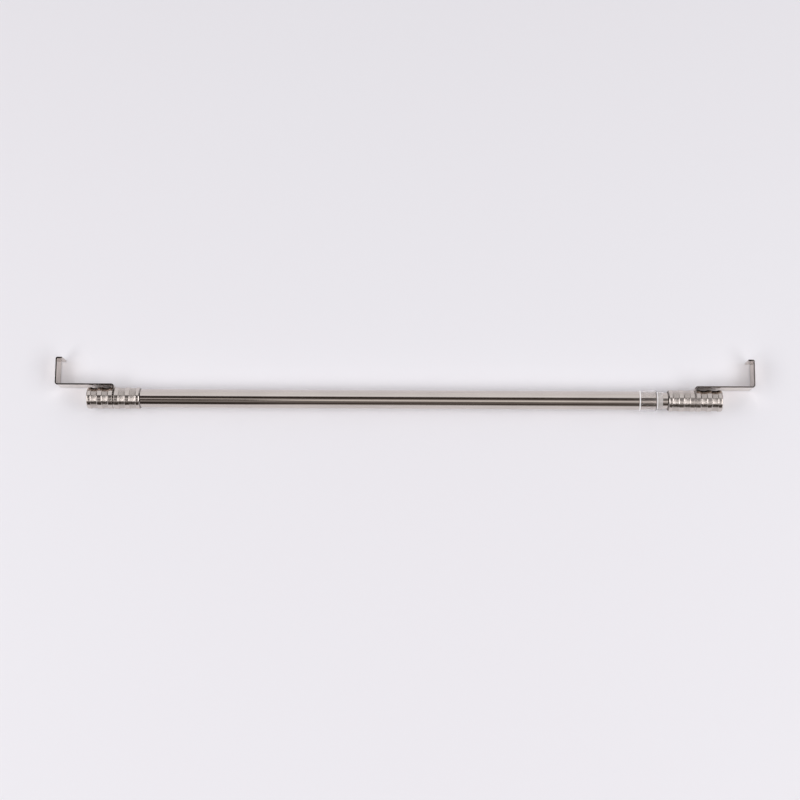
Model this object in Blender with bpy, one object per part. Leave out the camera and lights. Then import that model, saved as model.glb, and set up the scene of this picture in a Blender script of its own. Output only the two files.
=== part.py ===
"""A no-drill cafe curtain rod that hooks round a window sash.

A thin telescopic tube carries a ribbed finial at each end. Each finial is a fixed inner collar and
an outer knob, and the eye of a bent flat-steel bracket is clamped between them. Metres, +Z up. The
rod runs along X, the brackets reach out along +Y to the window, and the ribs rest on Z = 0.
"""

import math

import bmesh
import bpy
from mathutils import Matrix, Vector

MM = 0.001

# Facets round every turned piece. A multiple of four keeps the widths along Y and Z true.
FACETS = 40

# Gap between pieces that touch on the real rod.
FIT = 0.3 * MM
SLIDE_FIT = 0.2 * MM
BUSH_FIT = 0.15 * MM

# Edges that turn more sharply than this are shaded as creases.
CREASE_ANGLE = math.radians(30)

# Tubes. The left end of the outer tube is fixed. The inner tube slides out of its mouth.
OUTER_TUBE_R = 8.0 * MM
INNER_TUBE_R = 7.0 * MM
TUBE_WALL = 0.5 * MM
MOUTH_X = 219.2 * MM
TRAVEL = 390.0 * MM

# Finials. Distances along the rod are from the split plane, the middle of the bracket's eye.
SPLIT_X = 253.3 * MM
FINIAL_R = 9.4 * MM
FINIAL_HALF = 22.6 * MM
RIB_COUNT = 3
RIB_WIDTH = 3.6 * MM
GROOVE_DEPTH = 0.65 * MM
GROOVE_SLOPE = 0.45 * MM
EDGE = 0.3 * MM
KNOB_END_R = 1.6 * MM

# Brackets, bent from one flat strip stood on edge.
STRIP = 1.2 * MM
STRIP_WIDTH = 17.6 * MM
LEG_Y = 11.0 * MM
LEG_LENGTH = 50.9 * MM
SASH_REACH = 23.5 * MM
LIP_LENGTH = 4.9 * MM
BEND_R = 1.9 * MM
LIP_BEND_R = 0.9 * MM
EYE_R = 8.9 * MM

# Fastenings hidden inside each end.
STUD_R = 2.5 * MM
STUD_POINT = 0.4 * MM
STUD_INNER_X = -20.3 * MM
STUD_OUTER_X = 15.7 * MM
COLLAR_WALL = 3.0 * MM
PLUG_LENGTH = 16.0 * MM
PLUG_FLANGE = 1.0 * MM
WASHER_R = 5.2 * MM
WASHER_THICK = 0.9 * MM
INSERT_R = 4.2 * MM
INSERT_LENGTH = 12.0 * MM
KNOB_BORE_END_X = 18.2 * MM
REDUCER_INSET = 0.8 * MM

# Clear sleeve on the outer tube's mouth, and the bush on the inner tube's hidden end.
SLEEVE_R = 8.95 * MM
SLEEVE_LENGTH = 15.0 * MM
SLEEVE_LIP = 0.8 * MM
NECK_R = 7.9 * MM
NECK_LENGTH = 5.2 * MM
BUSH_FLANGE = 3.0 * MM
BUSH_SPIGOT = 9.0 * MM
BUSH_BORE_R = 4.5 * MM

# Worked out from the dimensions above.
HALF_STRIP = STRIP / 2
TOP_Y = LEG_Y + SASH_REACH + HALF_STRIP
AXIS = Vector((0.0, (FINIAL_R - TOP_Y) / 2, FINIAL_R))
COLLAR_OUT_X = -HALF_STRIP - FIT
COLLAR_IN_X = COLLAR_OUT_X - FINIAL_HALF
COLLAR_FLOOR_X = COLLAR_OUT_X - COLLAR_WALL
FLANGE_X = COLLAR_FLOOR_X - FIT - PLUG_FLANGE
TUBE_END_X = FLANGE_X - FIT
KNOB_IN_X = HALF_STRIP + FIT
KNOB_OUT_X = KNOB_IN_X + FINIAL_HALF
RECESS_X = KNOB_IN_X + WASHER_THICK + FIT
RECESS_R = WASHER_R + FIT
KNOB_BORE_R = INSERT_R + SLIDE_FIT
HOLE_R = STUD_R + FIT
THREAD_R = STUD_R + SLIDE_FIT
OUTER_BORE_R = OUTER_TUBE_R - TUBE_WALL
INNER_BORE_R = INNER_TUBE_R - TUBE_WALL
COLLAR_BORE_R = OUTER_TUBE_R + SLIDE_FIT
LIP_BORE_R = INNER_TUBE_R + SLIDE_FIT
SHOULDER_X = MOUTH_X + FIT
BUSH_FACE_X = SHOULDER_X - FIT - TRAVEL
BUSH_R = OUTER_BORE_R - BUSH_FIT

NICKEL = ((0.66, 0.63, 0.60, 1.0), 1.0, 0.12)
STEEL = ((0.52, 0.52, 0.53, 1.0), 1.0, 0.35)
BRASS = ((0.78, 0.60, 0.30, 1.0), 1.0, 0.3)
CLEAR = ((0.93, 0.94, 0.95, 1.0), 0.0, 0.05)
NYLON = ((0.85, 0.85, 0.82, 1.0), 0.0, 0.45)


def clear_scene():
    for obj in list(bpy.data.objects):
        bpy.data.objects.remove(obj, do_unlink=True)


def make_material(name, finish):
    colour, metallic, roughness = finish
    material = bpy.data.materials.new(name)
    material.use_nodes = True
    shader = material.node_tree.nodes["Principled BSDF"]
    shader.inputs["Base Color"].default_value = colour
    shader.inputs["Metallic"].default_value = metallic
    shader.inputs["Roughness"].default_value = roughness
    return material


def make_axis(name, location, turn=0.0, parent=None):
    """An empty on the rod's axis that carries one group of pieces."""
    axis = bpy.data.objects.new(name, None)
    axis.location = location
    axis.rotation_euler = (0.0, turn, 0.0)
    axis.parent = parent
    bpy.context.collection.objects.link(axis)
    return axis


def add_piece(name, mesh, parent, finish):
    piece = bpy.data.objects.new(name, mesh)
    piece.parent = parent
    piece.data.materials.clear()
    piece.data.materials.append(make_material(name, finish))
    bpy.context.collection.objects.link(piece)
    return piece


def finish_mesh(bm, name):
    bmesh.ops.recalc_face_normals(bm, faces=bm.faces)
    mesh = bpy.data.meshes.new(name)
    bm.to_mesh(mesh)
    bm.free()
    mesh.shade_smooth()
    mesh.set_sharp_from_angle(angle=CREASE_ANGLE)
    return mesh


def turned(name, profile):
    """Spin a profile of (x, radius) points about the X axis.

    A profile whose first and last points lie on the axis is solid, and any other is a closed ring.
    """
    bm = bmesh.new()
    verts = [bm.verts.new((x, radius, 0.0)) for x, radius in profile]
    edges = [bm.edges.new(pair) for pair in zip(verts, verts[1:])]
    if profile[0][1] > 0.0:
        edges.append(bm.edges.new((verts[-1], verts[0])))
    bmesh.ops.spin(
        bm,
        geom=verts + edges,
        axis=(1.0, 0.0, 0.0),
        cent=(0.0, 0.0, 0.0),
        angle=math.tau,
        steps=FACETS,
        use_merge=True,
    )
    bmesh.ops.remove_doubles(bm, verts=bm.verts, dist=1e-6)
    return finish_mesh(bm, name)


def ring(x0, x1, inner_r, outer_r):
    return [(x0, inner_r), (x0, outer_r), (x1, outer_r), (x1, inner_r)]


def ribbed_outline(start, end_radius):
    """The outside of one finial half: raised ribs with sloping grooves between them."""
    pitch = (FINIAL_HALF - RIB_WIDTH) / (RIB_COUNT - 1)
    groove_r = FINIAL_R - GROOVE_DEPTH
    points = [(start, FINIAL_R - EDGE), (start + EDGE, FINIAL_R)]
    for rib in range(RIB_COUNT - 1):
        groove_start = start + rib * pitch + RIB_WIDTH
        groove_end = start + (rib + 1) * pitch
        points += [
            (groove_start, FINIAL_R),
            (groove_start + GROOVE_SLOPE, groove_r),
            (groove_end - GROOVE_SLOPE, groove_r),
            (groove_end, FINIAL_R),
        ]
    return points + end_corner(start + FINIAL_HALF, end_radius)


def end_corner(end, radius):
    """The corner between the ribs and a flat end face: an arc, or a chamfer if it is small."""
    steps = 4 if radius > EDGE else 1
    centre_x = end - radius
    centre_r = FINIAL_R - radius
    turns = [math.pi / 2 * step / steps for step in range(steps + 1)]
    return [(centre_x + radius * math.sin(t), centre_r + radius * math.cos(t)) for t in turns]


def collar_mesh():
    inside = [
        (COLLAR_OUT_X, HOLE_R),
        (COLLAR_FLOOR_X, HOLE_R),
        (COLLAR_FLOOR_X, COLLAR_BORE_R),
        (COLLAR_IN_X, COLLAR_BORE_R),
    ]
    return turned("collar", ribbed_outline(COLLAR_IN_X, EDGE) + inside)


def knob_mesh():
    end_face = [(KNOB_OUT_X, 0.0)]
    inside = [
        (KNOB_BORE_END_X, 0.0),
        (KNOB_BORE_END_X, KNOB_BORE_R),
        (RECESS_X, KNOB_BORE_R),
        (RECESS_X, RECESS_R),
        (KNOB_IN_X, RECESS_R),
    ]
    profile = inside + ribbed_outline(KNOB_IN_X, KNOB_END_R) + end_face
    return turned("knob", profile)


def stud_mesh():
    profile = [
        (STUD_INNER_X, 0.0),
        (STUD_INNER_X, STUD_R - STUD_POINT),
        (STUD_INNER_X + STUD_POINT, STUD_R),
        (STUD_OUTER_X - STUD_POINT, STUD_R),
        (STUD_OUTER_X, STUD_R - STUD_POINT),
        (STUD_OUTER_X, 0.0),
    ]
    return turned("stud", profile)


def plug_mesh(name, bore_r):
    body_r = bore_r - SLIDE_FIT
    start = FLANGE_X + PLUG_FLANGE - PLUG_LENGTH
    profile = [
        (start, THREAD_R),
        (start, body_r - EDGE),
        (start + EDGE, body_r),
        (FLANGE_X, body_r),
        (FLANGE_X, NECK_R),
        (FLANGE_X + PLUG_FLANGE, NECK_R),
        (FLANGE_X + PLUG_FLANGE, THREAD_R),
    ]
    return turned(name, profile)


def washer_mesh():
    return turned("washer", ring(KNOB_IN_X, KNOB_IN_X + WASHER_THICK, HOLE_R, WASHER_R))


def insert_mesh():
    start = RECESS_X + FIT
    return turned("knob_insert", ring(start, start + INSERT_LENGTH, THREAD_R, INSERT_R))


def sleeve_mesh():
    step_x = MOUTH_X + SLEEVE_LIP
    start = step_x - SLEEVE_LENGTH
    neck_end = step_x + NECK_LENGTH
    profile = [
        (start, COLLAR_BORE_R),
        (start, SLEEVE_R - EDGE),
        (start + EDGE, SLEEVE_R),
        (step_x - EDGE, SLEEVE_R),
        (step_x, SLEEVE_R - EDGE),
        (step_x, NECK_R),
        (neck_end, NECK_R),
        (neck_end, LIP_BORE_R),
        (SHOULDER_X, LIP_BORE_R),
        (SHOULDER_X, COLLAR_BORE_R),
    ]
    return turned("sleeve", profile)


def bush_mesh():
    """Origin on the face that meets the inner tube's hidden end; the spigot runs into the tube."""
    spigot_r = INNER_BORE_R - SLIDE_FIT
    profile = [
        (-BUSH_FLANGE, BUSH_BORE_R),
        (-BUSH_FLANGE, BUSH_R - EDGE),
        (-BUSH_FLANGE + EDGE, BUSH_R),
        (0.0, BUSH_R),
        (0.0, spigot_r),
        (BUSH_SPIGOT - EDGE, spigot_r),
        (BUSH_SPIGOT, spigot_r - EDGE),
        (BUSH_SPIGOT, BUSH_BORE_R),
    ]
    return turned("bush", profile)


def rounded_path(corners, radii, steps=6):
    """Points and left-hand normals along a line in XY whose corners are rounded by arcs."""
    start_way = (corners[1] - corners[0]).normalized()
    path = [(corners[0], left_of(start_way))]
    for before, corner, after, radius in zip(corners, corners[1:], corners[2:], radii):
        way_in = (corner - before).normalized()
        way_out = (after - corner).normalized()
        turn = way_in.angle_signed(way_out)
        setback = radius * math.tan(abs(turn) / 2)
        side = -math.copysign(1.0, turn)
        centre = corner - way_in * setback + left_of(way_in) * side * radius
        for step in range(steps + 1):
            way = way_in.copy()
            way.rotate(Matrix.Rotation(-turn * step / steps, 2))
            normal = left_of(way)
            path.append((centre - normal * side * radius, normal))
    end_way = (corners[-1] - corners[-2]).normalized()
    path.append((corners[-1], left_of(end_way)))
    return path


def left_of(way):
    return Vector((-way.y, way.x))


def strip_mesh():
    """The flat strip swept along its bent centre line, from the eye to the tip of the lip."""
    eye_end = Vector((0.0, -EYE_R - STRIP))
    knee = Vector((0.0, LEG_Y))
    elbow = Vector((LEG_LENGTH, LEG_Y))
    top = Vector((LEG_LENGTH, LEG_Y + SASH_REACH))
    tip = top - Vector((LIP_LENGTH, 0.0))
    path = rounded_path([eye_end, knee, elbow, top, tip], [BEND_R, BEND_R, LIP_BEND_R])
    bm = bmesh.new()
    rings = []
    for point, normal in path:
        outside = point + normal * HALF_STRIP
        inside = point - normal * HALF_STRIP
        section = [(outside, -1), (inside, -1), (inside, 1), (outside, 1)]
        rings.append([bm.verts.new((p.x, p.y, z * STRIP_WIDTH / 2)) for p, z in section])
    for one, two in zip(rings, rings[1:]):
        for side in range(4):
            after = (side + 1) % 4
            bm.faces.new((one[side], one[after], two[after], two[side]))
    bm.faces.new(rings[0])
    bm.faces.new(rings[-1])
    return finish_mesh(bm, "strip")


def eye_cutter_mesh():
    """A wide block with a round bite: it leaves the end of the eye round."""
    reach = 2 * EYE_R
    steps = FACETS // 2
    turns = [-math.pi * step / steps for step in range(steps + 1)]
    outline = [(EYE_R * math.sin(t), EYE_R * math.cos(t)) for t in turns]
    outline += [(0.0, -reach), (-reach, -reach), (-reach, reach), (0.0, reach)]
    bm = bmesh.new()
    face = bm.faces.new([bm.verts.new((-STRIP, y, z)) for y, z in outline])
    solid = bmesh.ops.extrude_face_region(bm, geom=[face])
    moved = [item for item in solid["geom"] if isinstance(item, bmesh.types.BMVert)]
    bmesh.ops.translate(bm, verts=moved, vec=(2 * STRIP, 0.0, 0.0))
    return finish_mesh(bm, "eye_cutter")


def hole_cutter_mesh():
    profile = [(-STRIP, 0.0), (-STRIP, HOLE_R), (STRIP, HOLE_R), (STRIP, 0.0)]
    return turned("hole_cutter", profile)


def make_cutter(name, mesh, parent):
    cutter = bpy.data.objects.new(name, mesh)
    cutter.parent = parent
    cutter.hide_render = True
    cutter.display_type = "WIRE"
    bpy.context.collection.objects.link(cutter)
    return cutter


def add_bracket(name, parent, shapes):
    bracket = add_piece(name, shapes["strip"].copy(), parent, NICKEL)
    for cutter_name in ("eye_cutter", "hole_cutter"):
        cutter = make_cutter(f"{name}_{cutter_name}", shapes[cutter_name], parent)
        cut = bracket.modifiers.new(cutter_name, "BOOLEAN")
        cut.operation = "DIFFERENCE"
        cut.solver = "EXACT"
        cut.object = cutter
    return bracket


def add_end(side, end, bore_r, shapes):
    """One finial with its fastenings and bracket, all on the rod's axis."""
    pivot = make_axis(f"{side}_bracket_pivot", (0.0, 0.0, 0.0), parent=end)
    screw = make_axis(f"{side}_knob_screw", (0.0, 0.0, 0.0), parent=end)
    add_piece(f"{side}_end_plug", plug_mesh(f"{side}_plug", bore_r), end, NYLON)
    add_piece(f"{side}_stud", shapes["stud"].copy(), end, STEEL)
    add_piece(f"{side}_collar", shapes["collar"].copy(), end, NICKEL)
    add_piece(f"{side}_washer", shapes["washer"].copy(), screw, STEEL)
    add_piece(f"{side}_knob", shapes["knob"].copy(), screw, NICKEL)
    add_piece(f"{side}_knob_insert", shapes["insert"].copy(), screw, BRASS)
    add_bracket(f"{side}_bracket", pivot, shapes)


def add_tubes(rod, slider):
    left_end_x = -SPLIT_X - TUBE_END_X
    right_end_x = SPLIT_X + TUBE_END_X
    hidden_end_x = BUSH_FACE_X + FIT
    outer = turned("outer_tube", ring(left_end_x, MOUTH_X, OUTER_BORE_R, OUTER_TUBE_R))
    inner = turned("inner_tube", ring(hidden_end_x, right_end_x, INNER_BORE_R, INNER_TUBE_R))
    add_piece("outer_tube", outer, rod, NICKEL)
    add_piece("inner_tube", inner, slider, NICKEL)
    add_piece("clear_end_sleeve", sleeve_mesh(), rod, CLEAR)
    bush_axis = make_axis("guide_bush_axis", (BUSH_FACE_X, 0.0, 0.0), parent=slider)
    add_piece("guide_bush", bush_mesh(), bush_axis, NYLON)


def add_reducer(end):
    """Fills the space between the thinner inner tube and the bore of the right collar."""
    start = COLLAR_IN_X + REDUCER_INSET
    profile = ring(start, TUBE_END_X, INNER_TUBE_R + SLIDE_FIT, COLLAR_BORE_R - SLIDE_FIT)
    add_piece("reducer_bush", turned("reducer", profile), end, NYLON)


def main():
    clear_scene()
    rod = make_axis("rod_axis", AXIS)
    slider = make_axis("slider_axis", (0.0, 0.0, 0.0), parent=rod)
    left_end = make_axis("left_end", (-SPLIT_X, 0.0, 0.0), turn=math.pi, parent=rod)
    right_end = make_axis("right_end", (SPLIT_X, 0.0, 0.0), parent=slider)
    shapes = {
        "stud": stud_mesh(),
        "collar": collar_mesh(),
        "washer": washer_mesh(),
        "knob": knob_mesh(),
        "insert": insert_mesh(),
        "strip": strip_mesh(),
        "eye_cutter": eye_cutter_mesh(),
        "hole_cutter": hole_cutter_mesh(),
    }
    add_tubes(rod, slider)
    add_reducer(right_end)
    add_end("left", left_end, OUTER_BORE_R, shapes)
    add_end("right", right_end, INNER_BORE_R, shapes)


main()
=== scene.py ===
"""Looks for a slim telescopic curtain rod with ribbed end knobs and hooked sash brackets.

Every piece is built in metres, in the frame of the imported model, and takes its place and size from
the boxes of the CAD nodes that it stands for. Turned pieces share one axis, which runs along X.
"""

import math

import bmesh
import bpy
from mathutils import Matrix, Vector


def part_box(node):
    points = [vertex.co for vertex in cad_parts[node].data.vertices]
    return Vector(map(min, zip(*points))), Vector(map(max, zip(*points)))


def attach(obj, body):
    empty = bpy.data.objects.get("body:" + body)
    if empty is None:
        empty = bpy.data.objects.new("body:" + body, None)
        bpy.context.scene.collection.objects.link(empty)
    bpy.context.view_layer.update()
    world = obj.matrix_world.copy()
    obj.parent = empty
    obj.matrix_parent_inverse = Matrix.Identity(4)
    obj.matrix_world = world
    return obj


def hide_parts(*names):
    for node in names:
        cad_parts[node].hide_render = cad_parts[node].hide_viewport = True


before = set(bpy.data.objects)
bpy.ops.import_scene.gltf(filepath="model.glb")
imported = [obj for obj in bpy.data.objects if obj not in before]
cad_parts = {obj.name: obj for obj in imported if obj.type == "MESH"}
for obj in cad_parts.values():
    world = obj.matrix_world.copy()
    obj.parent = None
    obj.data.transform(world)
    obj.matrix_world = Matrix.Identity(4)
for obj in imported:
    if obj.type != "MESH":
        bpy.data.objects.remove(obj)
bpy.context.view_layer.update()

MM = 0.001
FACETS = 128
GUARD = 0.05 * MM
ARC_STEP = math.radians(15)
CREASE = math.radians(32)
TINY = 1e-7


# ---------------------------------------------------------------- places, from the CAD boxes


def along(node):
    """Where a node starts and ends along the rod."""
    low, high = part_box(node)
    return low.x, high.x


def radius_of(node):
    low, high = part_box(node)
    return (high.z - low.z) / 2


TUBE_LOW, TUBE_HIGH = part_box("outer_tube")
AXIS = Vector((0.0, (TUBE_LOW.y + TUBE_HIGH.y) / 2, (TUBE_LOW.z + TUBE_HIGH.z) / 2))
TUBE_R = radius_of("outer_tube")
INNER_R = radius_of("inner_tube")
WALL = 0.5 * MM
STRIP = 1.2 * MM

# The gap left round a tube in a bore, the holes that clear a stud, and the threaded bores.
FIT = 0.2 * MM
STUD_HOLE_R = 2.8 * MM
TAPPED_R = 2.7 * MM


# ---------------------------------------------------------------- mesh helpers


def corner_arc(before, corner, after, radius):
    """Points that round one corner of a profile, with a guard point on each side of the arc.

    The guards keep the smooth shading of the arc off the long faces beside it.
    """
    way_in = before - corner
    way_out = after - corner
    room = 0.45 * min(way_in.length, way_out.length)
    way_in.normalize()
    way_out.normalize()
    half = way_in.angle(way_out) / 2
    if radius <= 0.0 or half > math.radians(88):
        return [corner]
    setback = min(radius / math.tan(half), room)
    radius = setback * math.tan(half)
    centre = corner + (way_in + way_out).normalized() * radius / math.sin(half)
    turn = math.pi - 2 * half
    steps = max(2, math.ceil(turn / ARC_STEP))
    start = corner + way_in * setback - centre
    side = 1.0 if start.cross(corner + way_out * setback - centre) > 0 else -1.0
    guard = min(GUARD, room - setback * 0.5)
    points = [corner + way_in * (setback + guard)] if guard > 1e-6 else []
    for step in range(steps + 1):
        spoke = start.copy()
        spoke.rotate(Matrix.Rotation(side * turn * step / steps, 2))
        points.append(centre + spoke)
    if guard > 1e-6:
        points.append(corner + way_out * (setback + guard))
    return points


def soften(corners, closed):
    """Rounds the corners of a profile given as (x, radius, corner radius)."""
    flat = [Vector((x, r)) for x, r, _ in corners]
    count = len(flat)
    points = []
    for index, (_, _, rounding) in enumerate(corners):
        if not closed and index in (0, count - 1):
            points.append(flat[index])
            continue
        before, after = flat[index - 1], flat[(index + 1) % count]
        points += corner_arc(before, flat[index], after, rounding)
    return points


def new_object(name, mesh, location=AXIS):
    """A piece in the scene, which stands on the rod's axis unless told otherwise."""
    piece = bpy.data.objects.new(name, mesh)
    piece.location = location
    bpy.context.scene.collection.objects.link(piece)
    return piece


def to_mesh(bm, name, crease=CREASE):
    """Turns a bmesh into a smooth mesh, with sharp edges where faces meet at more than crease."""
    bmesh.ops.recalc_face_normals(bm, faces=bm.faces)
    mesh = bpy.data.meshes.new(name)
    bm.to_mesh(mesh)
    bm.free()
    mesh.shade_smooth()
    mesh.set_sharp_from_angle(angle=crease)
    return mesh


def spin_rings(bm, points, facets, closed, shape=None):
    """Rings of a turned piece. shape(x, radius, turn) may change a radius, as for a thread."""
    rings = []
    for x, r in points:
        if r < TINY:
            rings.append([bm.verts.new((x, 0.0, 0.0))])
            continue
        ring = []
        for facet in range(facets):
            turn = math.tau * facet / facets
            radius = shape(x, r, turn) if shape else r
            ring.append(bm.verts.new((x, radius * math.cos(turn), radius * math.sin(turn))))
        rings.append(ring)
    pairs = list(zip(rings, rings[1:]))
    if closed:
        pairs.append((rings[-1], rings[0]))
    for one, two in pairs:
        for facet in range(facets):
            after = (facet + 1) % facets
            if len(one) == 1 and len(two) > 1:
                bm.faces.new((one[0], two[after], two[facet]))
            elif len(two) == 1 and len(one) > 1:
                bm.faces.new((one[facet], one[after], two[0]))
            elif len(one) > 1:
                bm.faces.new((one[facet], one[after], two[after], two[facet]))


def lathe(name, corners, closed=True, facets=FACETS, shape=None):
    """A turned piece, from its profile as (x, radius, corner radius)."""
    bm = bmesh.new()
    spin_rings(bm, soften(corners, closed), facets, closed, shape)
    return new_object(name, to_mesh(bm, name))


def mirrored(corners, side):
    """The same profile for the left (-1) or the right (1) end of the rod."""
    return [(side * x, r, rounding) for x, r, rounding in corners]


def place(piece, body, node, slot_name, *materials):
    """Finishes a piece: its materials, the body it rides on and the CAD node it replaces."""
    for material in materials:
        piece.data.materials.append(material)
    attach(piece, body)
    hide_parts(node)


# ---------------------------------------------------------------- shader helpers


class Shader:
    """A material or world node tree with short ways to add and link its nodes."""

    def __init__(self, tree):
        self.tree = tree

    def add(self, kind, **settings):
        node = self.tree.nodes.new(kind)
        for key, value in settings.items():
            setattr(node, key, value)
        return node

    def feed(self, socket, value):
        """Links an output to a socket, or sets the socket's value."""
        if isinstance(value, bpy.types.NodeSocket):
            self.tree.links.new(value, socket)
        else:
            socket.default_value = value

    def math(self, operation, *values):
        node = self.add("ShaderNodeMath", operation=operation)
        for socket, value in zip(node.inputs, values):
            self.feed(socket, value)
        return node.outputs[0]

    def remap(self, value, from_low, from_high, to_low, to_high, smooth=False):
        kind = "SMOOTHSTEP" if smooth else "LINEAR"
        node = self.add("ShaderNodeMapRange", interpolation_type=kind)
        numbers = (value, from_low, from_high, to_low, to_high)
        for socket, number in zip(node.inputs, numbers):
            self.feed(socket, number)
        return node.outputs["Result"]

    def mix(self, share, one, two):
        node = self.add("ShaderNodeMix", data_type="RGBA")
        self.feed(node.inputs["Factor"], share)
        self.feed(node.inputs[6], one)
        self.feed(node.inputs[7], two)
        return node.outputs[2]

    def ramp(self, value, stops):
        """Straight steps of colour through stops given as (position, colour)."""
        node = self.add("ShaderNodeValToRGB")
        elements = node.color_ramp.elements
        while len(elements) < len(stops):
            elements.new(0.5)
        for element, (position, colour) in zip(elements, stops):
            element.position = position
            element.color = colour
        self.feed(node.inputs["Fac"], value)
        return node.outputs["Color"]

    def place(self):
        """The piece's own coordinates, in metres."""
        return self.add("ShaderNodeTexCoord").outputs["Object"]

    def stretched(self, scale):
        node = self.add("ShaderNodeMapping", vector_type="POINT")
        self.feed(node.inputs["Vector"], self.place())
        node.inputs["Scale"].default_value = scale
        return node.outputs["Vector"]

    def noise(self, scale, detail=3.0, roughness=0.55):
        """Noise stretched by its own scale along X, Y and Z, in cells per metre."""
        node = self.add("ShaderNodeTexNoise")
        self.feed(node.inputs["Vector"], self.stretched(scale))
        node.inputs["Scale"].default_value = 1.0
        node.inputs["Detail"].default_value = detail
        node.inputs["Roughness"].default_value = roughness
        return node.outputs["Fac"]

    def bump(self, height, distance):
        node = self.add("ShaderNodeBump")
        node.inputs["Strength"].default_value = 1.0
        node.inputs["Distance"].default_value = distance
        self.feed(node.inputs["Height"], height)
        return node.outputs["Normal"]


def new_material(name):
    material = bpy.data.materials.new(name)
    material.use_nodes = True
    shader = Shader(material.node_tree)
    principled = material.node_tree.nodes["Principled BSDF"]
    return material, shader, principled


def dimmed(colour, factor):
    """A colour made darker or lighter by a factor, with an alpha of 1."""
    return tuple(channel * factor for channel in colour[:3]) + (1.0,)


# ---------------------------------------------------------------- materials


def metal(name, colour, roughness, lines, line_depth, patches=0.05, turned=0.0):
    """Plated metal: cloudy tone, fine tool or drawing lines, and roughness that varies with both.

    lines is the noise scale along X, Y and Z, so lines run along the axis whose scale is small.
    turned spreads the gloss along the rod, as the rings that a lathe tool leaves do.
    """
    material, shader, principled = new_material(name)
    clouds = shader.noise((24.0, 60.0, 60.0), detail=4.0)
    fine = shader.noise(lines, detail=2.0, roughness=0.7)
    specks = shader.noise((900.0, 900.0, 900.0), detail=1.0)
    dark, light = dimmed(colour, 1.0 - patches), dimmed(colour, 1.0 + patches)
    line_tone = dimmed(colour, 0.86)
    tone = shader.mix(shader.remap(clouds, 0.3, 0.7, 0.0, 1.0), dark, light)
    lined = shader.mix(shader.remap(fine, 0.35, 0.75, 0.0, 0.25), tone, line_tone)
    shader.feed(principled.inputs["Base Color"], lined)
    worn = shader.remap(clouds, 0.25, 0.75, roughness * 0.75, roughness * 1.3)
    lines_rough = shader.remap(fine, 0.3, 0.8, -0.02, 0.04)
    rough = shader.math("ADD", worn, lines_rough)
    spotted = shader.math("ADD", rough, shader.remap(specks, 0.62, 0.75, 0.0, 0.05))
    shader.feed(principled.inputs["Roughness"], spotted)
    shader.feed(principled.inputs["Normal"], shader.bump(fine, line_depth))
    principled.inputs["Metallic"].default_value = 1.0
    if turned > 0.0:
        tangent = shader.add("ShaderNodeTangent", direction_type="RADIAL", axis="X")
        shader.feed(principled.inputs["Tangent"], tangent.outputs["Tangent"])
        principled.inputs["Anisotropic"].default_value = turned
        principled.inputs["Anisotropic Rotation"].default_value = 0.25
    return material


def nylon_material():
    material, shader, principled = new_material("natural_nylon")
    clouds = shader.noise((120.0, 120.0, 120.0), detail=4.0)
    grain = shader.noise((2600.0, 2600.0, 2600.0), detail=2.0)
    pale, warm = (0.84, 0.83, 0.80, 1.0), (0.74, 0.72, 0.66, 1.0)
    tone = shader.mix(shader.remap(clouds, 0.3, 0.7, 0.0, 1.0), pale, warm)
    shader.feed(principled.inputs["Base Color"], tone)
    shader.feed(principled.inputs["Roughness"], shader.remap(grain, 0.3, 0.7, 0.38, 0.52))
    shader.feed(principled.inputs["Normal"], shader.bump(grain, 0.02 * MM))
    principled.inputs["Subsurface Weight"].default_value = 0.15
    principled.inputs["Subsurface Radius"].default_value = (0.002, 0.002, 0.0018)
    principled.inputs["Subsurface Scale"].default_value = 1.0
    return material


def clear_material(name, roughness, tint, milk=0.0):
    """Moulded plastic with faint flow lines. milk is the share of it that lets no light through."""
    material, shader, principled = new_material(name)
    flow = shader.noise((90.0, 260.0, 260.0), detail=2.0)
    grain = shader.noise((3000.0, 3000.0, 3000.0), detail=1.0)
    tone = shader.mix(shader.remap(flow, 0.3, 0.7, 0.0, 1.0), tint, dimmed(tint, 0.94))
    shader.feed(principled.inputs["Base Color"], tone)
    low, high = roughness * 0.7, roughness * 1.3
    shader.feed(principled.inputs["Roughness"], shader.remap(grain, 0.3, 0.7, low, high))
    shader.feed(principled.inputs["Normal"], shader.bump(flow, 0.003 * MM))
    principled.inputs["Transmission Weight"].default_value = 1.0 - milk
    principled.inputs["IOR"].default_value = 1.49
    return material


NICKEL = (0.663, 0.607, 0.566)
# The grooves' satin nickel is rougher, which is real, and darker, which is painted shade in the
# grooves.
SATIN_NICKEL_PAINTED_SHADE = (0.56, 0.51, 0.472)
# A darker nickel that is painted shade and a painted dark reflection, not the metal's own colour.
PAINTED_SHADE_NICKEL = (0.27, 0.245, 0.23)
DRAWN = (30.0, 2500.0, 2500.0)
RINGS = (1500.0, 40.0, 40.0)
tube_nickel = metal("polished_tube_nickel", NICKEL, 0.09, DRAWN, 0.0004 * MM)
inner_nickel = metal("polished_inner_nickel", NICKEL, 0.11, DRAWN, 0.0004 * MM)
rib_nickel = metal("turned_nickel_rib", NICKEL, 0.15, RINGS, 0.001 * MM, turned=0.3)
groove_nickel_painted_shade = metal("turned_nickel_groove_painted_shade", SATIN_NICKEL_PAINTED_SHADE, 0.26, RINGS, 0.003 * MM, turned=0.95)
strip_nickel = metal("plated_strip", NICKEL, 0.07, (60.0, 60.0, 2600.0), 0.0006 * MM)
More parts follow.
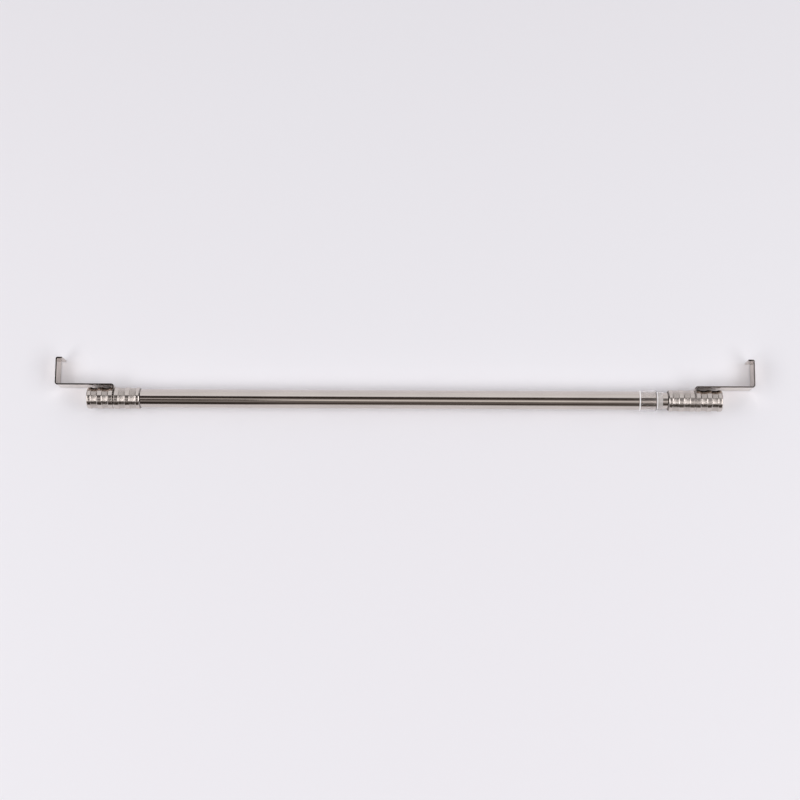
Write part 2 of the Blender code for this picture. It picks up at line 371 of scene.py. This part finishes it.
# painted_shade_nickel is painted shade and reflection: the dark reflections on the brackets' edges
# and the shade in the collars' mouths.
painted_shade_nickel = metal("painted_shade_and_reflection", PAINTED_SHADE_NICKEL, 0.07, (900.0, 900.0, 60.0), 0.0003 * MM)
zinc = metal("zinc_plated_steel", (0.55, 0.55, 0.56), 0.32, (1800.0, 900.0, 900.0), 0.003 * MM, 0.1)
brass = metal("turned_brass", (0.80, 0.60, 0.29), 0.26, (4200.0, 200.0, 200.0), 0.003 * MM, 0.1)
nylon = nylon_material()
clear = clear_material("clear_plastic", 0.04, (0.99, 0.985, 0.985, 1.0), milk=0.02)
satin = clear_material("satin_plastic", 0.16, (0.98, 0.96, 0.95, 1.0), milk=0.3)
# cut is opaque white plastic for the sleeve's rims: a painted highlight.
cut = clear_material("painted_highlight_rim", 0.12, (0.99, 0.98, 0.98, 1.0), milk=1.0)


# ---------------------------------------------------------------- tubes


def ring_profile(start, end, inner, outer, rounding):
    """The profile of a plain tube or ring, with all four corners rounded."""
    return [
        (start, inner, rounding),
        (start, outer, rounding),
        (end, outer, rounding),
        (end, inner, rounding),
    ]


TUBE_EDGE = 0.12 * MM
start, end = along("outer_tube")
outer_tube = lathe("outer_tube_drawn", ring_profile(start, end, TUBE_R - WALL, TUBE_R, TUBE_EDGE))
place(outer_tube, "outer_rod", "outer_tube", "polished_nickel", tube_nickel)

start, end = along("inner_tube")
inner_profile = ring_profile(start, end, INNER_R - WALL, INNER_R, TUBE_EDGE)
inner_tube = lathe("inner_tube_drawn", inner_profile)
place(inner_tube, "inner_rod", "inner_tube", "polished_nickel", inner_nickel)


# ---------------------------------------------------------------- finials

# TIGHT closes the hairline gaps that the CAD leaves round each bracket's eye.
FINIAL_R = radius_of("right_knob")
TIGHT = 0.14 * MM
COLLAR_GROOVE = 0.5 * MM
KNOB_GROOVE = 0.65 * MM
CHAMFER = 0.8 * MM
SHOULDER = 1.3 * MM
END_WALL = 3.0 * MM
RIB_COUNT = 3
RIB_WIDTH = 3.5 * MM
RIB_EDGE = 0.25 * MM
GROOVE_SLOPE = 0.85 * MM
GROOVE_SAG = 0.1 * MM
GROOVE_DEPTHS = (0.1 * MM, 0.9 * MM)


def groove(start, end, depth):
    """A groove between two ribs, with curved walls and a floor that sags a little."""
    floor_r = FINIAL_R - depth
    return [
        (start, FINIAL_R, RIB_EDGE),
        (start + GROOVE_SLOPE, floor_r + GROOVE_SAG, 1.0 * MM),
        ((start + end) / 2, floor_r, 20.0 * MM),
        (end - GROOVE_SLOPE, floor_r + GROOVE_SAG, 1.0 * MM),
        (end, FINIAL_R, RIB_EDGE),
    ]


def ribs(start, end, depth, start_rounding, end_rounding, shoulder=0.0):
    """The ribbed outside of one half of a finial, from its start to its end.

    shoulder leaves room for a turned shoulder before the first rib.
    """
    pitch = (end - start - RIB_WIDTH) / (RIB_COUNT - 1)
    points = [(start + shoulder, FINIAL_R, start_rounding)]
    for rib in range(RIB_COUNT - 1):
        groove_start = start + rib * pitch + RIB_WIDTH
        points += groove(groove_start, start + (rib + 1) * pitch, depth)
    return points + [(end, FINIAL_R, end_rounding)]


def end_distances(node):
    """The nearest and furthest distance of a node from the middle of the rod."""
    low, high = along(node)
    return min(abs(low), abs(high)), max(abs(low), abs(high))


def paint_grooves(piece, start, end):
    """Gives the grooves between two distances from the rod's middle their satin metal: rougher, and
    darker as painted shade in the grooves.
    """
    shallow, deep = GROOVE_DEPTHS
    for face in piece.data.polygons:
        centre = face.center
        depth = FINIAL_R - math.hypot(centre.y, centre.z)
        if start < abs(centre.x) < end and shallow < depth < deep:
            face.material_index = 1


def add_collar(side, side_name, body):
    """The half of a finial that stays on the tube, with painted shade and a painted dark reflection
    on the chamfer at its mouth.
    """
    near, far = end_distances(f"{side_name}_collar")
    far += TIGHT
    profile = [
        (near, FINIAL_R - 1.1 * MM, 0.05 * MM),
        (near + CHAMFER, FINIAL_R - 0.3 * MM, 0.1 * MM),
    ]
    profile += ribs(near, far, COLLAR_GROOVE, 0.9 * MM, 0.25 * MM, SHOULDER)
    bore = TUBE_R + FIT
    floor = far - END_WALL
    profile += [
        (far, STUD_HOLE_R, 0.2 * MM),
        (floor, STUD_HOLE_R, 0.1 * MM),
        (floor, bore, 0.1 * MM),
        (near, bore, 0.05 * MM),
    ]
    collar = lathe(f"{side_name}_collar_turned", mirrored(profile, side))
    paint_grooves(collar, near + RIB_WIDTH, far - RIB_WIDTH)
    # The chamfer at the mouth gets the darker nickel: painted shade and a painted dark reflection.
    for face in collar.data.polygons:
        if abs(face.center.x) < near + CHAMFER:
            face.material_index = 2
    nickels = (rib_nickel, groove_nickel_painted_shade, painted_shade_nickel)
    place(collar, body, f"{side_name}_collar", "polished_nickel", *nickels)


def add_knob(side, side_name):
    """The half of a finial that screws on, with a blind bore and a recess for the washer."""
    near, far = end_distances(f"{side_name}_knob")
    near -= TIGHT
    recess = 1.2 * MM + TIGHT
    recess_r = 5.5 * MM
    bore_r = 4.4 * MM
    bore_end = far - 5.3 * MM
    profile = [
        (bore_end, 0.0, 0.0),
        (bore_end, bore_r, 0.3 * MM),
        (near + recess, bore_r, 0.1 * MM),
        (near + recess, recess_r, 0.1 * MM),
        (near, recess_r, 0.2 * MM),
    ]
    profile += ribs(near, far, KNOB_GROOVE, 0.25 * MM, 1.2 * MM)
    profile += [(far, 0.0, 0.0)]
    knob = lathe(f"{side_name}_knob_turned", mirrored(profile, side), closed=False)
    paint_grooves(knob, near + RIB_WIDTH, far - RIB_WIDTH)
    nickels = (rib_nickel, groove_nickel_painted_shade)
    place(knob, f"{side_name}_knob", f"{side_name}_knob", "polished_nickel", *nickels)


# ---------------------------------------------------------------- fastenings inside the ends

THREAD_PITCH = 0.8 * MM
THREAD_DEPTH = 0.45 * MM
THREAD_CREASE = math.radians(70)
THREAD_STEPS = 8
STUD_FACETS = 32
STUD_POINT = 0.4 * MM
WASHER_FACETS = 96
KNURLS = 16
KNURL_DEPTH = 0.12 * MM
CRUSH_RIBS = 8
CRUSH_DEPTH = 0.12 * MM


def thread_shape(x, radius, turn):
    """A right-hand thread cut into a plain rod."""
    phase = (x / THREAD_PITCH - turn / math.tau) % 1.0
    ramp = abs(2 * phase - 1)
    cut = min(max((ramp - 0.1) / 0.8, 0.0), 1.0)
    return radius - THREAD_DEPTH * cut


def add_stud(side, side_name, body):
    """A threaded stud, whose thread runs out at both ends."""
    near, far = end_distances(f"{side_name}_stud")
    radius = radius_of(f"{side_name}_stud")
    tip_r = radius - STUD_POINT
    count = round((far - near) / (THREAD_PITCH / THREAD_STEPS))
    points = [Vector((side * near, 0.0)), Vector((side * near, tip_r))]
    for index in range(count + 1):
        x = near + (far - near) * index / count
        inset = min(1.0, min(x - near, far - x) / STUD_POINT)
        points.append(Vector((side * x, radius - STUD_POINT * (1.0 - inset))))
    points += [Vector((side * far, tip_r)), Vector((side * far, 0.0))]
    bm = bmesh.new()
    spin_rings(bm, points, STUD_FACETS, False, thread_shape)
    bmesh.ops.remove_doubles(bm, verts=bm.verts, dist=TINY)
    mesh = to_mesh(bm, f"{side_name}_stud", THREAD_CREASE)
    stud = new_object(f"{side_name}_stud_threaded", mesh)
    place(stud, body, f"{side_name}_stud", "zinc_steel", zinc)


def add_washer(side, side_name):
    near, far = end_distances(f"{side_name}_washer")
    radius = radius_of(f"{side_name}_washer")
    profile = ring_profile(near, far, STUD_HOLE_R, radius, 0.16 * MM)
    washer = lathe(f"{side_name}_washer_pressed", mirrored(profile, side), facets=WASHER_FACETS)
    place(washer, f"{side_name}_washer", f"{side_name}_washer", "zinc_steel", zinc)


def knurl(x, radius, turn):
    """Straight knurling on the outside of the insert, away from its plain bore."""
    if radius < TAPPED_R + 0.8 * MM:
        return radius
    return radius - KNURL_DEPTH * abs(math.sin(turn * KNURLS))


def add_insert(side, side_name):
    """The brass insert in a knob: a knurled barrel with a waist."""
    near, far = end_distances(f"{side_name}_knob_insert")
    radius = radius_of(f"{side_name}_knob_insert")
    waist_start, waist_end = near + 4.6 * MM, near + 6.6 * MM
    waist = radius - 0.5 * MM
    profile = [
        (near, TAPPED_R, 0.2 * MM),
        (near, radius, 0.2 * MM),
        (waist_start, radius, 0.1 * MM),
        (waist_start + 0.3 * MM, waist, 0.1 * MM),
        (waist_end - 0.3 * MM, waist, 0.1 * MM),
        (waist_end, radius, 0.1 * MM),
        (far, radius, 0.2 * MM),
        (far, TAPPED_R, 0.2 * MM),
    ]
    insert = lathe(f"{side_name}_insert_knurled", mirrored(profile, side), shape=knurl)
    place(insert, f"{side_name}_knob", f"{side_name}_knob_insert", "brass", brass)


def crush_ribs(x, radius, turn):
    """Low ribs round a plug's body, which the tube's bore squeezes."""
    if radius < 5.5 * MM:
        return radius
    ridge = max(0.0, math.cos(turn * CRUSH_RIBS)) ** 6
    return radius - CRUSH_DEPTH * (1.0 - ridge)


def add_plug(side, side_name, body):
    """The moulded plug in a tube's end, with a flange against the tube's rim."""
    near, far = end_distances(f"{side_name}_end_plug")
    bore = (TUBE_R if side_name == "left" else INNER_R) - WALL
    body_r = bore - FIT
    flange_r = radius_of(f"{side_name}_end_plug")
    flange_x = far - 1.0 * MM
    profile = [
        (near, TAPPED_R, 0.2 * MM),
        (near, body_r - 0.4 * MM, 0.1 * MM),
        (near + 1.2 * MM, body_r, 0.1 * MM),
        (flange_x, body_r, 0.0),
        (flange_x, flange_r, 0.15 * MM),
        (far, flange_r, 0.15 * MM),
        (far, TAPPED_R, 0.2 * MM),
    ]
    plug = lathe(f"{side_name}_plug_moulded", mirrored(profile, side), shape=crush_ribs)
    place(plug, body, f"{side_name}_end_plug", "white_nylon", nylon)


start, end = along("reducer_bush")
reducer_r = radius_of("reducer_bush")
reducer_profile = ring_profile(start, end, INNER_R + FIT, reducer_r, 0.15 * MM)
reducer = lathe("reducer_moulded", reducer_profile)
place(reducer, "inner_rod", "reducer_bush", "white_nylon", nylon)

start, end = along("guide_bush")
flange_end = start + 3.0 * MM
bush_bore_r = 4.5 * MM
bush_body_r = INNER_R - WALL - FIT
bush_profile = [
    (start, bush_bore_r, 0.3 * MM),
    (start, radius_of("guide_bush"), 0.4 * MM),
    (flange_end, radius_of("guide_bush"), 0.2 * MM),
    (flange_end, bush_body_r, 0.1 * MM),
    (end, bush_body_r, 0.4 * MM),
    (end, bush_bore_r, 0.2 * MM),
]
place(lathe("guide_bush_moulded", bush_profile), "guide_bush", "guide_bush", "white_nylon", nylon)


# ---------------------------------------------------------------- clear sleeve

# The plastic is opaque white along a rim at each end of the barrel: a painted highlight.
BARREL = 15.0 * MM
RIM = 0.9 * MM
NECK_R = 7.9 * MM
start, end = along("clear_end_sleeve")
sleeve_r = radius_of("clear_end_sleeve")
step_x = start + BARREL
mouth_x = along("outer_tube")[1] + 0.3 * MM
sleeve_profile = [
    (start, TUBE_R + FIT, 0.1 * MM),
    (start, sleeve_r, 0.35 * MM),
    (start + RIM, sleeve_r, 0.0),
    (step_x, sleeve_r, 0.35 * MM),
    (step_x, NECK_R, 0.1 * MM),
    (step_x + RIM, NECK_R, 0.0),
    (end, NECK_R, 0.15 * MM),
    (end, INNER_R + FIT, 0.1 * MM),
    (mouth_x, INNER_R + FIT, 0.1 * MM),
    (mouth_x, TUBE_R + FIT, 0.1 * MM),
]
sleeve = lathe("clear_sleeve_moulded", sleeve_profile)
place(sleeve, "outer_rod", "clear_end_sleeve", "clear_plastic", clear, satin, cut)
# The rims at each end of the barrel get the opaque white plastic, a painted highlight; the neck gets
# the satin plastic.
for face in sleeve.data.polygons:
    if face.center.x > step_x + RIM:
        face.material_index = 1
    elif face.center.x > step_x - 0.05 * MM or face.center.x < start + RIM:
        face.material_index = 2


# ---------------------------------------------------------------- brackets

EDGE_R = 0.04 * MM
BEND_STEPS = 14
EYE_STEPS = 24
EYE_R = 8.9 * MM
LEG_Y = 11.0 * MM
LIP_LENGTH = 4.9 * MM
KNEE_R = 1.9 * MM
LIP_BEND_R = 0.9 * MM


def strip_section(half_width):
    """A rounded rectangle across the strip: (offset along the normal, offset along Z)."""
    half = STRIP / 2
    corners = [(-half, -half_width), (half, -half_width), (half, half_width), (-half, half_width)]
    flat = [(Vector(c), EDGE_R) for c in corners]
    points = []
    for index, (corner, rounding) in enumerate(flat):
        before, after = flat[index - 1][0], flat[(index + 1) % 4][0]
        points += corner_arc(before, corner, after, rounding)
    return points


def left_of(way):
    """The direction a quarter turn to the left of another."""
    return Vector((-way.y, way.x))


def bent_path(corners, radii):
    """Stations along the bent strip as (point, normal), with guard stations beside each bend."""
    stations = []
    for index, radius in enumerate(radii, start=1):
        before, corner, after = corners[index - 1], corners[index], corners[index + 1]
        way_in = (corner - before).normalized()
        way_out = (after - corner).normalized()
        turn = way_in.angle_signed(way_out)
        setback = radius * math.tan(abs(turn) / 2)
        side = -math.copysign(1.0, turn)
        centre = corner - way_in * setback + left_of(way_in) * side * radius
        bend_in = corner - way_in * (setback + 2 * GUARD)
        stations.append((bend_in, left_of(way_in)))
        for step in range(BEND_STEPS + 1):
            way = way_in.copy()
            way.rotate(Matrix.Rotation(-turn * step / BEND_STEPS, 2))
            normal = left_of(way)
            stations.append((centre - normal * side * radius, normal))
        bend_out = corner + way_out * (setback + 2 * GUARD)
        stations.append((bend_out, left_of(way_out)))
    return stations


def bracket_mesh(name, side, low, high, eye_x):
    """The bent strip, swept in the XY plane with the rod's axis as the origin of Y."""
    half = STRIP / 2
    half_width = (high.z - low.z) / 2
    outer_x = max(abs(low.x), abs(high.x))
    upright_x = outer_x - half
    lip_y = high.y - AXIS.y - half
    eye = Vector((eye_x, -EYE_R))
    knee = Vector((eye_x, LEG_Y))
    elbow = Vector((upright_x, LEG_Y))
    top = Vector((upright_x, lip_y))
    tip = Vector((upright_x - LIP_LENGTH, lip_y))
    path = bent_path([eye, knee, elbow, top, tip], [KNEE_R, KNEE_R, LIP_BEND_R])
    normal = left_of((knee - eye).normalized())
    round_end = []
    for step in range(1, EYE_STEPS + 1):
        turn = math.pi / 2 * step / EYE_STEPS
        y = -EYE_R * math.cos(turn)
        width = min(half_width, EYE_R * math.sin(turn))
        round_end.append((Vector((eye_x, y)), normal, width, half))
    first = EYE_R * 0.004
    round_end.insert(0, (Vector((eye_x, -EYE_R + first)), normal, EYE_R * 0.07, half))
    way = (tip - top).normalized()
    tip_end = []
    for turn in (0.0, 30.0, 60.0, 90.0):
        inset = EDGE_R * (1 - math.cos(math.radians(turn)))
        back = EDGE_R * (1 - math.sin(math.radians(turn)))
        tip_end.append((tip - way * back, left_of(way), half_width - inset, half - inset))
    stations = round_end + [(p, n, half_width, half) for p, n in path] + tip_end
    bm = bmesh.new()
    rings = []
    section = strip_section(half_width)
    for point, across, width, thick in stations:
        ring = []
        for offset, z in section:
            spot = point + across * (offset * thick / half)
            ring.append(bm.verts.new((side * spot.x, spot.y, z * width / half_width)))
        rings.append(ring)
    count = len(section)
    for one, two in zip(rings, rings[1:]):
        for index in range(count):
            after = (index + 1) % count
            bm.faces.new((one[index], one[after], two[after], two[index]))
    bm.faces.new(rings[0])
    bm.faces.new(rings[-1])
    return to_mesh(bm, name)


def drill(piece, side, eye_x):
    """Cuts the stud's hole through the eye."""
    reach = 2 * STRIP
    profile = [
        (side * (eye_x - reach), 0.0, 0.0),
        (side * (eye_x - reach), STUD_HOLE_R, 0.0),
        (side * (eye_x + reach), STUD_HOLE_R, 0.0),
        (side * (eye_x + reach), 0.0, 0.0),
    ]
    cutter = lathe(f"{piece.name}_drill", profile, closed=False, facets=64)
    hole = piece.modifiers.new("hole", "BOOLEAN")
    hole.operation = "DIFFERENCE"
    hole.solver = "EXACT"
    hole.object = cutter
    bpy.context.view_layer.update()
    graph = bpy.context.evaluated_depsgraph_get()
    mesh = bpy.data.meshes.new_from_object(piece.evaluated_get(graph))
    piece.modifiers.clear()
    piece.data = mesh
    bpy.data.objects.remove(cutter)


def add_bracket(side, side_name):
    """One bent and drilled bracket, whose edges facing up and down carry a painted dark reflection
    in a darker nickel.
    """
    low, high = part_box(f"{side_name}_bracket")
    near = end_distances(f"{side_name}_bracket")[0]
    eye_x = near + STRIP / 2
    name = f"{side_name}_bracket_bent"
    piece = new_object(name, bracket_mesh(name, side, low, high, eye_x))
    drill(piece, side, eye_x)
    nickels = (strip_nickel, painted_shade_nickel)
    place(piece, f"{side_name}_bracket", f"{side_name}_bracket", "polished_strip", *nickels)
    # Edges facing up and down, away from the eye, get painted shade: darker nickel for the dark
    # ceiling they reflect.
    for face in piece.data.polygons:
        if abs(face.normal.z) > 0.7 and face.center.y > 0.9 * FINIAL_R:
            face.material_index = 1


for side, side_name, body in ((-1, "left", "outer_rod"), (1, "right", "inner_rod")):
    add_collar(side, side_name, body)
    add_stud(side, side_name, body)
    add_plug(side, side_name, body)
    add_knob(side, side_name)
    add_insert(side, side_name)
    add_washer(side, side_name)
    add_bracket(side, side_name)


# ---------------------------------------------------------------- floor

FLOOR_SIZE = 6.0
FLOOR_GAP = 0.1 * MM
GLOW_START, GLOW_END, GLOW = 0.7, 3.6, 0.43


def add_floor():
    """A pale sheet, which glows a little far from the rod, where the lamps no longer reach it."""
    bm = bmesh.new()
    bmesh.ops.create_grid(bm, x_segments=8, y_segments=8, size=FLOOR_SIZE)
    bmesh.ops.translate(bm, verts=bm.verts, vec=(0.0, 0.0, -FLOOR_GAP))
    mesh = bpy.data.meshes.new("studio_floor")
    bm.to_mesh(mesh)
    bm.free()
    floor = new_object("studio_floor", mesh, Vector((0.0, 0.0, 0.0)))
    material, shader, principled = new_material("pale_floor")
    clouds = shader.noise((1.6, 1.6, 1.6), detail=2.0)
    cool, warm = (0.86, 0.86, 0.89, 1.0), (0.86, 0.855, 0.885, 1.0)
    tone = shader.mix(shader.remap(clouds, 0.35, 0.65, 0.0, 1.0), cool, warm)
    shader.feed(principled.inputs["Base Color"], tone)
    principled.inputs["Roughness"].default_value = 0.6
    principled.inputs["Specular IOR Level"].default_value = 0.2
    away = shader.add("ShaderNodeVectorMath", operation="LENGTH")
    shader.feed(away.inputs[0], shader.place())
    glow = shader.remap(away.outputs["Value"], GLOW_START, GLOW_END, 0.0, GLOW, smooth=True)
    principled.inputs["Emission Color"].default_value = (1.0, 0.99, 1.03, 1.0)
    shader.feed(principled.inputs["Emission Strength"], glow)
    floor.data.materials.append(material)


add_floor()


# ---------------------------------------------------------------- light

LAMP_POWER = 19.5
LAMP_SIZE = (2.1, 1.0)
LAMP_SPOT = Vector((1.5, -0.45, 1.55))

# The world's zones, as shares of a unit direction along the rod: the dark patch over the rod is
# centred on PATCH_X, and each pair is where a zone starts and is complete.
PATCH_X = -0.05
LEFT_ZONE = (-0.09, -0.115)
CEILING_ZONE = (0.165, 0.25)
SIDE_ZONE = (0.58, 0.75)

# Radiance round the rod, by angle from the zenith: the front of the room is negative.
MIDDLE_BANDS = [
    (-90, (0.72, 0.70, 0.70)),
    (-82, (0.42, 0.395, 0.385)),
    (-74, (0.08, 0.068, 0.062)),
    (-66, (0.025, 0.018, 0.015)),
    (-60, (0.10, 0.085, 0.078)),
    (-52, (0.17, 0.15, 0.14)),
    (-39, (0.12, 0.10, 0.094)),
    (-34, (0.45, 0.42, 0.40)),
    (-28, (0.86, 0.82, 0.79)),
    (-15, (0.62, 0.58, 0.56)),
    (-8, (0.16, 0.135, 0.125)),
    (-2, (0.05, 0.04, 0.036)),
    (21, (0.04, 0.03, 0.026)),
    (27, (0.88, 0.86, 0.87)),
    (37, (0.94, 0.92, 0.94)),
    (44, (0.84, 0.83, 0.85)),
    (90, (0.82, 0.81, 0.83)),
]
LEFT_BANDS = [
    (-90, (0.52, 0.50, 0.495)),
    (-85, (0.16, 0.145, 0.14)),
    (-78, (0.045, 0.036, 0.032)),
    (-62, (0.010, 0.007, 0.006)),
    (-56, (0.09, 0.077, 0.07)),
    (-48, (0.23, 0.205, 0.195)),
    (-38, (0.27, 0.245, 0.235)),
    (-31, (0.09, 0.077, 0.07)),
    (-22, (0.02, 0.014, 0.012)),
    (-17, (0.30, 0.27, 0.26)),
    (-11, (0.70, 0.66, 0.64)),
    (-5, (0.12, 0.10, 0.094)),
    (0, (0.035, 0.027, 0.024)),
    (20, (0.03, 0.022, 0.02)),
    (26, (0.86, 0.845, 0.86)),
    (37, (0.94, 0.92, 0.94)),
    (44, (0.84, 0.83, 0.85)),
    (90, (0.82, 0.81, 0.83)),
]
CEILING_BANDS = [
    (-90, (0.30, 0.29, 0.29)),
    (-82, (0.07, 0.06, 0.055)),
    (-56, (0.06, 0.05, 0.045)),
    (-46, (0.60, 0.585, 0.60)),
    (15, (0.60, 0.585, 0.60)),
    (28, (0.72, 0.71, 0.73)),
    (90, (0.66, 0.65, 0.67)),
]
SIDE_BANDS = [
    (-90, (0.16, 0.155, 0.155)),
    (-60, (0.20, 0.19, 0.19)),
    (-48, (0.45, 0.44, 0.445)),
    (16, (0.45, 0.44, 0.445)),
    (28, (0.14, 0.13, 0.13)),
    (90, (0.12, 0.115, 0.115)),
]


def band_stops(bands):
    """Stops for a ramp that runs from one horizon to the other."""
    return [((degrees + 90) / 180, colour + (1.0,)) for degrees, colour in bands]


def add_world():
    """A bright room with a darker ceiling patch, which the polished tube mirrors as long bands.

    The angle runs round the rod from the front horizon over the zenith to the back one, as a share
    of a half turn. The patch is narrow: away from the middle the ceiling is bright, but the low
    front of the room stays dim.
    """
    world = bpy.data.worlds.new("soft_studio")
    bpy.context.scene.world = world
    world.use_nodes = True
    tree = world.node_tree
    tree.nodes.clear()
    shader = Shader(tree)
    way = shader.add("ShaderNodeTexCoord").outputs["Generated"]
    split = shader.add("ShaderNodeSeparateXYZ")
    shader.feed(split.inputs[0], way)
    x, y, z = split.outputs
    angle = shader.math("ARCTAN2", y, z)
    share = shader.remap(angle, -math.pi / 2, math.pi / 2, 0.0, 1.0)
    leftward = shader.remap(x, *LEFT_ZONE, 0.0, 1.0, smooth=True)
    left = shader.ramp(share, band_stops(LEFT_BANDS))
    middle = shader.mix(leftward, shader.ramp(share, band_stops(MIDDLE_BANDS)), left)
    ceiling = shader.ramp(share, band_stops(CEILING_BANDS))
    off_middle = shader.math("ABSOLUTE", shader.math("SUBTRACT", x, PATCH_X))
    outward = shader.remap(off_middle, *CEILING_ZONE, 0.0, 1.0, smooth=True)
    overhead = shader.mix(outward, middle, ceiling)
    sideways = shader.remap(shader.math("ABSOLUTE", x), *SIDE_ZONE, 0.0, 1.0, smooth=True)
    light = shader.mix(sideways, overhead, shader.ramp(share, band_stops(SIDE_BANDS)))
    backdrop = (0.84, 0.832, 0.868, 1.0)
    seen = shader.add("ShaderNodeLightPath").outputs["Is Camera Ray"]
    colour = shader.mix(seen, light, backdrop)
    background = shader.add("ShaderNodeBackground")
    shader.feed(background.inputs["Color"], colour)
    output = shader.add("ShaderNodeOutputWorld")
    tree.links.new(background.outputs[0], output.inputs["Surface"])


def add_lamp(name, spot):
    """A soft lamp that points at the middle of the rod and doesn't show itself."""
    data = bpy.data.lights.new(name, "AREA")
    data.shape = "RECTANGLE"
    data.size, data.size_y = LAMP_SIZE
    data.energy = LAMP_POWER
    data.color = (1.0, 0.985, 1.0)
    lamp = bpy.data.objects.new(name, data)
    lamp.location = AXIS + spot
    lamp.rotation_euler = (-spot).to_track_quat("-Z", "Y").to_euler()
    lamp.visible_camera = False
    bpy.context.scene.collection.objects.link(lamp)


add_world()
add_lamp("left_softbox", Vector((-LAMP_SPOT.x, LAMP_SPOT.y, LAMP_SPOT.z)))
add_lamp("right_softbox", LAMP_SPOT)


# ---------------------------------------------------------------- camera

CAMERA_SPOT = Vector((0.0310, -0.2191, 1.3804))
CAMERA_TILT = math.radians(9.0)
CAMERA_YAW = math.radians(1.388)
CAMERA_ROLL = math.radians(0.275)


def add_camera():
    """Above the rod and a little in front of it, looking down and slightly back."""
    data = bpy.data.cameras.new("photo_camera")
    data.lens = 72.0
    data.sensor_width = 36.0
    data.clip_start = 0.05
    data.clip_end = 20.0
    camera = bpy.data.objects.new("photo_camera", data)
    bpy.context.scene.collection.objects.link(camera)
    tilt = Matrix.Rotation(CAMERA_TILT, 3, "X")
    yaw = Matrix.Rotation(CAMERA_YAW, 3, "Y")
    roll = Matrix.Rotation(CAMERA_ROLL, 3, "Z")
    turned = (tilt @ yaw @ roll).to_4x4()
    camera.matrix_world = Matrix.Translation(AXIS + CAMERA_SPOT) @ turned
    bpy.context.scene.camera = camera


add_camera()
bpy.context.scene.view_settings.view_transform = "Standard"

# Filter Glossy would blur away the light that the polished brackets throw on the floor.
bpy.context.scene.cycles.blur_glossy = 0.0
